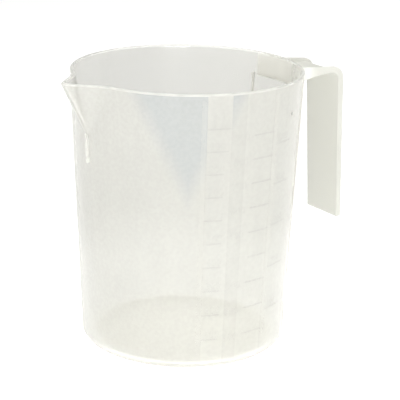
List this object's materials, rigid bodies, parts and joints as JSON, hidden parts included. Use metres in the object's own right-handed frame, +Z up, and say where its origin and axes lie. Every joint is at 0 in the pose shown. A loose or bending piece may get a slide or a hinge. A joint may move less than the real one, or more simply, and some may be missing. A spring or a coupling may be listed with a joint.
{
  "type": "measuring jug",
  "caption": "Tapering translucent measuring jug with a V-shaped pouring spout, a channel-section handle open at its lower end, and raised graduations.",
  "frame": {"origin": "the jug's axis at the plane that its foot ring stands on", "axes": "+Z up, +X towards the handle and -X towards the spout, -Y towards the graduated panel"},
  "size_m": [0.1611, 0.114, 0.137],
  "materials": {
    "vessel": "natural translucent polypropylene, moulded, satin gloss",
    "handle": "natural translucent polypropylene, moulded, satin gloss",
    "graduations": "raised marks in the same polypropylene, uncoloured"
  },
  "bodies": {
    "root": {"foot_ring": "vessel", "vessel_floor": "vessel", "vessel_wall": "vessel", "rim": "vessel", "pouring_spout": "vessel", "spout_rib": "vessel", "stacking_ribs": "vessel", "handle_arm": "handle", "handle_grip": "handle", "handle_flange_left": "handle", "handle_flange_right": "handle", "millilitre_rule": "graduations", "millilitre_marks": "graduations", "millilitre_numerals": "graduations", "litre_figure": "graduations", "dry_goods_rule": "graduations", "sugar_marks": "graduations", "sugar_numerals": "graduations", "flour_marks": "graduations", "flour_numerals": "graduations"}
  },
  "joints": []
}
